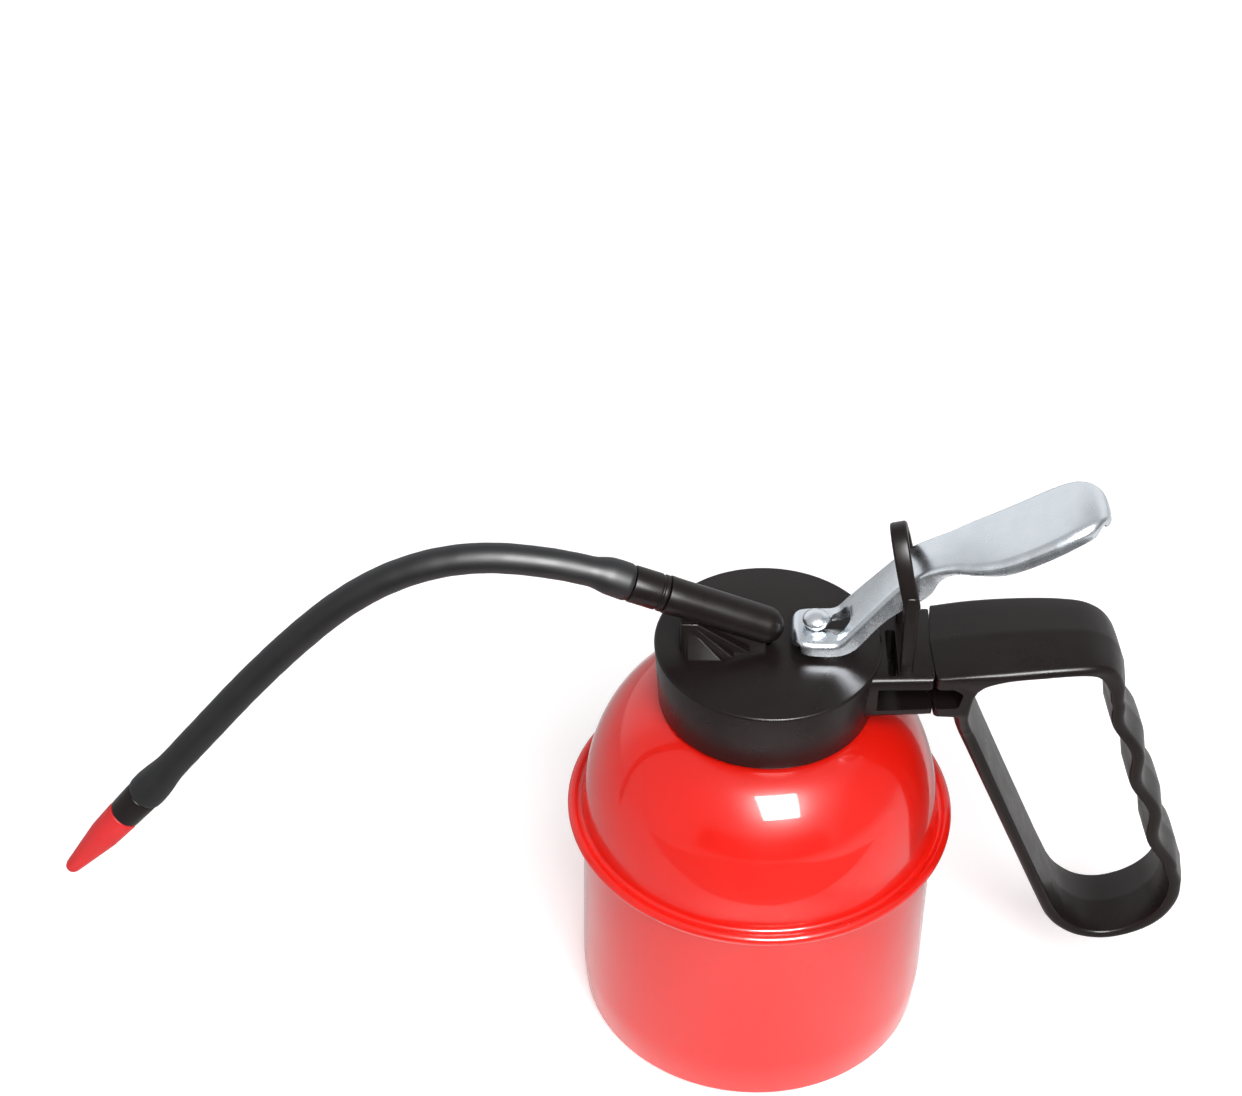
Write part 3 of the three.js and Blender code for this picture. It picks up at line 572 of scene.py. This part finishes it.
def strap_section(outer_x, outer_z, inner_x, inner_z, half):
    """One cross-section of the strap: a low roof on both faces and rounded edges."""
    outer, inner = Vector((outer_x, 0, outer_z)), Vector((inner_x, 0, inner_z))
    out = (outer - inner).normalized()
    loop = []
    for side, base, edge in ((1, outer, EDGE_OUT), (-1, inner, EDGE_IN)):
        for corner in (1, -1):
            centre = base - out * side * edge + Vector((0, corner * side * (half - edge), 0))
            for k in range(5):
                turn = math.pi / 2 * (k / 4 if corner == 1 else 1 - k / 4)
                reach = out * side * math.sin(turn) + Vector((0, corner * side * math.cos(turn), 0))
                loop.append(centre + reach * edge)
            if corner == 1:
                loop += [base + out * side * CREST * (1 - share) + Vector((0, side * share * half, 0))
                         for share in (0.6, 0.3, 0.06)]
                loop.append(base + out * side * CREST)
                loop += [base + out * side * CREST * (1 - share) - Vector((0, side * share * half, 0))
                         for share in (0.06, 0.3, 0.6)]
    return loop


def handle():
    body = lofted("handle_loop", [strap_section(*row) for row in handle_rows()], closed=True, sharp=40)
    recess = rounded([(36, 105.3), (44.6, 105.8, 1.2), (45.6, 110.2, 1.2), (43.2, 111.7, 1.0), (36, 111.5)])
    cuts = [slab("recess", recess, side_view, side * 5, side * 20, edge=0.01) for side in (-1, 1)]
    tongue = slab("tongue", rounded([(32.4, 104.9), (JOINT_X + 3, 104.9), (JOINT_X + 3, 111.1), (32.4, 111.1)]),
                  side_view, -2.8, 2.8, edge=0.4)
    return boolean(boolean(body, cuts, "DIFFERENCE", 40), [tongue], "UNION", 40)


# ---- lever ----
SHEET = 1.2
# Along the lever's top line: x, z, half width, how deep the flanges hang, and the corner radius.
LEVER_ROWS = [
    [5.5, 116.9, 4.4, 1.7, 1.2], [5.7, 118.5, 5.3, 2.2, 1.4], [6.8, 119.45, 6.2, 3.0, 1.5],
    [9.0, 119.5, 6.9, 3.6, 1.5], [12.2, 119.5, 7.1, 3.8, 1.5], [15.0, 119.65, 7.1, 3.9, 1.5],
    [16.6, 120.6, 7.1, 4.2, 1.4], [18.4, 122.9, 7.0, 4.3, 1.3], [23.0, 128.9, 6.6, 4.2, 1.3],
    [27.0, 134.0, 6.2, 5.6, 1.3], [30.0, 137.5, 6.15, 6.6, 1.3], [33.4, 140.3, 6.2, 6.0, 1.3],
    [37.2, 142.4, 6.4, 3.4, 1.5], [41.4, 144.0, 7.3, 2.4, 1.9], [46.0, 145.4, 9.1, 2.6, 2.2],
    [51.0, 147.3, 10.2, 3.5, 2.4], [56.2, 150.0, 10.55, 3.8, 2.4], [62.0, 153.5, 10.6, 3.8, 2.4],
    [66.4, 156.2, 10.2, 3.8, 2.4], [69.9, 157.75, 9.4, 3.7, 2.4], [72.8, 158.15, 8.0, 3.5, 2.3],
    [75.0, 157.3, 6.1, 3.1, 2.1], [76.2, 155.2, 4.2, 2.3, 1.7], [76.2, 153.2, 2.9, 1.6, 1.2],
]


def channel(half, depth, corner):
    """A lever section of (across, up): a crowned web with rounded corners and a flange down each side."""
    corner = min(corner, depth - 0.1, half - 0.1)
    crown = 0.03 * half
    lip = min(0.35, SHEET * 0.3)
    right = [Vector((half - lip, -depth)), Vector((half, -depth + lip))]
    right += arc((half - corner, -corner), corner, 0, 90, 6)
    right += [Vector((x * (half - corner), crown * (1 - x * x))) for x in (0.8, 0.55, 0.28)]
    top = right + [Vector((0, crown))] + [Vector((-p.x, p.y)) for p in reversed(right)]
    inner = max(corner - SHEET, 0.25)
    wall = half - SHEET
    under = arc((wall - inner, -SHEET - inner), inner, 90, 0, 4)
    floor = min(-depth, -SHEET - inner - 0.05)
    under += [Vector((wall, (floor - SHEET - inner) / 2)), Vector((wall, floor + 0.02))]
    left = [Vector((-p.x, p.y)) for p in reversed(under)]
    return top + left + [Vector((0, -SHEET))] + under


def lever():
    rows = spline(LEVER_ROWS, 6)
    sections = []
    for i, (x, z, half, depth, corner) in enumerate(rows):
        before, after = rows[max(i - 1, 0)], rows[min(i + 1, len(rows) - 1)]
        along = Vector((after[0] - before[0], 0, after[1] - before[1])).normalized()
        up = Vector((-along.z, 0, along.x))
        at = Vector((x, 0, z))
        sections.append([at + up * p.y + Vector((0, p.x, 0)) for p in channel(half, depth, corner)])
    body = lofted("lever_channel", sections, sharp=38)
    slot = rounded([(8.3, -2.5, 2.4), (14.6, -2.5, 0.5), (15.2, -3.7, 0.5), (18.9, -3.7, 2), (18.9, 3.7, 2),
                    (15.2, 3.7, 0.5), (14.6, 2.5, 0.5), (8.3, 2.5, 2.4)])
    pin = arc((31.8, 135.2), 1.5, 0, 350, 35)
    cuts = [
        slab("slot", slot, plan_view, 114, 125, edge=0.01),
        slab("pin_hole", pin, side_view, -12, 12, edge=0.01),
    ]
    return boolean(body, cuts, "DIFFERENCE", 38)


def plunger_rod():
    r = 3.3
    centre = 119.5 + 2.45
    profile = [
        Vector((0, 64)), Vector((2, 64)), Vector((2, centre - 3.0)), Vector((2.3, centre - 2.5)),
        *arc((0, centre - 0.5), (r, 2.0), -40, 90, 16),
    ]
    return revolved("plunger_rod_turned", profile, (PUMP_X, 0), facets=ROUND)


# ---- spout ----
CONNECTOR_LENGTH = 8.4
TUBE_R = 3.6
TUBE_END_R = 3.72
SLEEVE_R = 4.55
NOZZLE_LENGTH = 8.3
BARB_LENGTH = 9.0
tube_start = along_barrel(BARREL_LENGTH + 0.3 + CONNECTOR_LENGTH + 0.3)
TUBE_ROUTE = [
    [tube_start.x, tube_start.y], [tube_start.x - 6.6, tube_start.y + 2.65], [-51.5, 137.8], [-65.0, 139.2],
    [-77.0, 137.6], [-88.5, 132.9], [-99.5, 125.2], [-110.8, 114.0], [-123.5, 99.0], [-136.7, 81.7],
    [-147.4, 67.5], [-152.5, 61.0],
]


def connector():
    profile = rounded([
        (1.3, -9), (2.6, -9), (2.6, 0), (4.45, 0, 0.2), (4.45, 0.9, 0.2), (4.15, 1.15, 0.1), (4.15, 1.5, 0.1),
        (4.45, 1.75, 0.2), (4.45, CONNECTOR_LENGTH, 0.3), (2.2, CONNECTOR_LENGTH), (2.2, CONNECTOR_LENGTH + 1),
        (2.6, CONNECTOR_LENGTH + 1.4), (2.0, CONNECTOR_LENGTH + 6), (1.3, CONNECTOR_LENGTH + 6),
    ])
    return revolved("connector_sleeve", profile, along_barrel(BARREL_LENGTH + 0.3), BARREL_WAY, ROUND)


def tube_line():
    """The tube's middle line as (point, direction, distance from the head end)."""
    points = [Vector((x, 0, z)) for x, z in spline(TUBE_ROUTE, 16)]
    line, run = [], 0.0
    for i, point in enumerate(points):
        if i:
            run += (point - points[i - 1]).length
        way = points[min(i + 1, len(points) - 1)] - points[max(i - 1, 0)]
        line.append((point, way.normalized(), run))
    return line


def tube_radius(run, length):
    """Outer radius: swollen where each end is pushed over its barb, and a little thicker towards the tip."""
    plain = TUBE_R + (TUBE_END_R - TUBE_R) * ease(run, 0.2 * length, 0.9 * length)
    left = length - run
    head = (SLEEVE_R - 0.05 - plain) * (1 - ease(run, 4.6, 10.0)) - 0.25 * (1 - ease(run, 0, 0.9))
    tail = (SLEEVE_R + 0.1 - plain) * (1 - ease(left, 3.0, 13.5)) - 0.25 * (1 - ease(left, 0, 0.7))
    ripple = 0.03 * math.sin(0.9 * run) * math.sin(0.23 * run + 1)
    return plain + head + tail + ripple


def spout_tube():
    line = tube_line()
    length = line[-1][2]
    facets = 40

    def loop(point, way, radius):
        up = Vector((-way.z, 0, way.x))
        return [point + up * radius * math.cos(TURN * k / facets) + Vector((0, radius * math.sin(TURN * k / facets), 0))
                for k in range(facets)]
    outside = [loop(point, way, tube_radius(run, length)) for point, way, run in line]
    inside = [loop(point, way, 2 + 0.9 * (1 - ease(min(run, length - run), 8.6, 9.6))) for point, way, run in line]
    return lofted("spout_tube_soft", outside + inside[::-1], closed=True, sharp=50)


def tail():
    point, way, _ = tube_line()[-1]
    return Vector((point.x, point.z)), Vector((way.x, way.z))


def nozzle():
    at, way = tail()
    profile = rounded([
        (0.6, -7), (2, -7), (2.6, -1.4), (2.2, -0.6), (2.2, 0), (4.35, 0, 0.3), (4.33, 2.0, 3), (4.15, NOZZLE_LENGTH, 0.3),
        (1.5, NOZZLE_LENGTH), (1.5, NOZZLE_LENGTH + 14, 0.3), (0.6, NOZZLE_LENGTH + 14),
    ])
    return revolved("tip_nozzle_turned", profile, at + way * 0.3, way, ROUND)


def tip_cap():
    at, way = tail()
    profile = rounded([
        (1.85, 0), (4.05, 0, 0.3), (4.18, 1.2, 2), (3.85, 9.4, 12), (1.9, 24.0, 1.0), (1.35, 25.4, 0.9), (0, 25.4),
        (0, 15), (1.85, 14.6),
    ])
    return revolved("tip_cap_moulded", profile, at + way * (0.3 + NOZZLE_LENGTH + 0.3), way, ROUND)


place(can_body(), "can", "red_paint", ["can_body"], RED)
place(can_dome(), "can", "red_paint", ["can_dome"], RED)
place(neck_ring(), "can", "steel", ["neck_ring"], STEEL)
place(pump_head(), "head", "black_plastic", ["pump_head"], BLACK)
place(handle(), "head", "black_plastic", ["handle"], BLACK)
place(lever(), "thumb_lever", "zinc", ["lever"], ZINC)
place(plunger_rod(), "plunger", "zinc", ["plunger_rod"], ZINC)
place(connector(), "head", "black_plastic", ["spout_connector"], BLACK)
place(spout_tube(), "head", "tube_plastic", ["spout_tube"], TUBE)
place(nozzle(), "head", "black_plastic", ["tip_nozzle"], BLACK)
place(tip_cap(), "tip", "red_plastic", ["tip_cap"], RED_TIP)

# The pieces inside keep their CAD meshes and take the material of their slot.
for row in frame["record"]["subparts"]:
    obj = frame["nodes"][row["node"]]
    obj.data.materials.clear()
    obj.data.materials.append(INNER_SURFACES.get(row["material_slot"], BLACK))


# ---- studio ----
def lamp(name, azimuth, elevation, distance, size, radiance, glossy=True, diffuse=True, target=(0, 0, 0.09)):
    """A soft square light seen from the object at an azimuth (0 is +Y, 90 is +X) and an elevation."""
    light = bpy.data.lights.new(name, "AREA")
    light.shape = "RECTANGLE"
    light.size, light.size_y = size
    light.energy = radiance * math.pi * size[0] * size[1]
    obj = bpy.data.objects.new(name, light)
    bpy.context.scene.collection.objects.link(obj)
    a, e = math.radians(azimuth), math.radians(elevation)
    out = Vector((math.sin(a) * math.cos(e), math.cos(a) * math.cos(e), math.sin(e)))
    obj.location = Vector(target) + out * distance
    obj.rotation_euler = out.to_track_quat("Z", "Y").to_euler()
    obj.visible_camera = False
    obj.visible_glossy = glossy
    obj.visible_diffuse = diffuse
    return obj


def sheet_of(name, corners, z, material):
    mesh = bpy.data.meshes.new(name)
    (x0, y0), (x1, y1) = corners
    mesh.from_pydata([(x0, y0, z), (x1, y0, z), (x1, y1, z), (x0, y1, z)], [], [(0, 1, 2, 3)])
    mesh.materials.append(material)
    obj = bpy.data.objects.new(name, mesh)
    bpy.context.scene.collection.objects.link(obj)
    return obj


def floor_material():
    """White to the camera; its reflection in the object is darker away from the middle."""
    s = Surface("pale_floor", (0.9, 0.9, 0.9), 0.8, specular_ior_level=0.1)
    path = s.tree.nodes.new("ShaderNodeLightPath")
    split = s.tree.nodes.new("ShaderNodeSeparateXYZ")
    s.link(s.place, split.inputs[0])
    aside = s.tree.nodes.new("ShaderNodeMath")
    aside.operation = "ABSOLUTE"
    s.link(split.outputs["X"], aside.inputs[0])
    mirrored = s.tree.nodes.new("ShaderNodeMath")
    mirrored.operation = "MULTIPLY"
    dark = s.tree.nodes.new("ShaderNodeMath")
    dark.operation = "SUBTRACT"
    s.link(s.ramp(aside.outputs[0], 0.03, 0.09, 0, 1), dark.inputs[0])
    s.link(s.ramp(split.outputs["X"], 0.1, 0.125, 0, 0.5), dark.inputs[1])
    s.link(dark.outputs[0], mirrored.inputs[0])
    s.link(path.outputs["Is Glossy Ray"], mirrored.inputs[1])
    s.color(mirrored.outputs[0], (0.9, 0.9, 0.9), (0.26, 0.26, 0.26))
    s.shader.inputs["Emission Color"].default_value = (1, 1, 1, 1)
    s.link(s.ramp(path.outputs["Is Camera Ray"], 0, 1, 0.18, 0.4), s.shader.inputs["Emission Strength"])
    return s.material


def studio():
    sheet_of("floor", ((-4, -4), (4, 4)), 0.0, floor_material())
    card = sheet_of("shade_card", ((-0.42, -1.3), (0.36, -0.15)), 0.004, moulded("card_black", (0.02, 0.02, 0.02),
                                                                               (0.02, 0.02, 0.02), 0.9))
    card.visible_camera = card.visible_diffuse = card.visible_shadow = card.visible_transmission = False
    lamp("key_shine", 167, 47, 1.1, (0.44, 0.56), 42, diffuse=False)
    lamp("key", 165, 47, 1.1, (0.5, 0.62), 10.6, glossy=False)
    lamp("fill_left", -110, 15, 1.4, (0.9, 0.7), 0.2, glossy=False)
    lamp("fill_right", 110, 15, 1.4, (0.9, 0.7), 0.35, glossy=False)


def world():
    """Even white studio with a darker side behind the camera, which shows only in reflections."""
    w = bpy.data.worlds.new("studio")
    bpy.context.scene.world = w
    w.use_nodes = True
    tree = w.node_tree
    tree.nodes.clear()
    out = tree.nodes.new("ShaderNodeOutputWorld")
    split = tree.nodes.new("ShaderNodeSeparateXYZ")
    tree.links.new(tree.nodes.new("ShaderNodeTexCoord").outputs["Generated"], split.inputs[0])

    def fade(axis, start, end, first, last):
        node = tree.nodes.new("ShaderNodeMapRange")
        node.interpolation_type = "SMOOTHSTEP"
        for socket, value in (("From Min", start), ("From Max", end), ("To Min", first), ("To Max", last)):
            node.inputs[socket].default_value = value
        tree.links.new(split.outputs[axis], node.inputs["Value"])
        return node.outputs["Result"]

    def math_node(operation, a, b):
        node = tree.nodes.new("ShaderNodeMath")
        node.operation = operation
        for socket, value in zip(node.inputs, (a, b)):
            if isinstance(value, (int, float)):
                socket.default_value = value
            else:
                tree.links.new(value, socket)
        return node.outputs[0]

    front = math_node("MULTIPLY", fade("Y", -0.8, -0.7, 1, 0), fade("Z", 0.22, 0.36, 1, 0))
    right = math_node("MULTIPLY", fade("X", 0.62, 0.8, 0, 1), fade("Z", 0.6, 0.8, 1, 0))
    behind = fade("Y", 0.35, 0.6, 0, 1)
    horizon = math_node("MULTIPLY", behind, fade("Z", 0.5, 0.8, 0.4, 0.0))
    level = math_node("ADD", math_node("MULTIPLY", front, -0.42), math_node("MULTIPLY", right, -0.22))
    level = math_node("ADD", math_node("ADD", level, horizon), 0.46)
    level = math_node("MAXIMUM", level, 0.04)
    seen = tree.nodes.new("ShaderNodeBackground")
    seen.inputs["Color"].default_value = (0.97, 0.97, 0.97, 1)
    lit = tree.nodes.new("ShaderNodeBackground")
    lit.inputs["Color"].default_value = (0.97, 0.985, 1.0, 1)
    tree.links.new(level, lit.inputs["Strength"])
    mix = tree.nodes.new("ShaderNodeMixShader")
    tree.links.new(tree.nodes.new("ShaderNodeLightPath").outputs["Is Camera Ray"], mix.inputs["Fac"])
    tree.links.new(lit.outputs[0], mix.inputs[1])
    tree.links.new(seen.outputs[0], mix.inputs[2])
    tree.links.new(mix.outputs[0], out.inputs["Surface"])


def camera():
    data = bpy.data.cameras.new("camera")
    data.sensor_width = 36
    data.lens = 86.96
    data.clip_start, data.clip_end = 0.01, 20
    obj = bpy.data.objects.new("camera", data)
    bpy.context.scene.collection.objects.link(obj)
    forward = Vector((0.0025, 0.7633, -0.646)).normalized()
    right = forward.cross(Vector((0, 0, 1))).normalized()
    up = right.cross(forward)
    roll = Quaternion(forward, math.radians(-0.82))
    right, up = roll @ right, roll @ up
    turn = Matrix((right, up, -forward)).transposed().to_4x4()
    obj.matrix_world = Matrix.Translation(Vector((-36.9, -527.7, 589.3)) * MM) @ turn
    bpy.context.scene.camera = obj


studio()
world()
camera()
bpy.context.scene.view_settings.view_transform = "Standard"
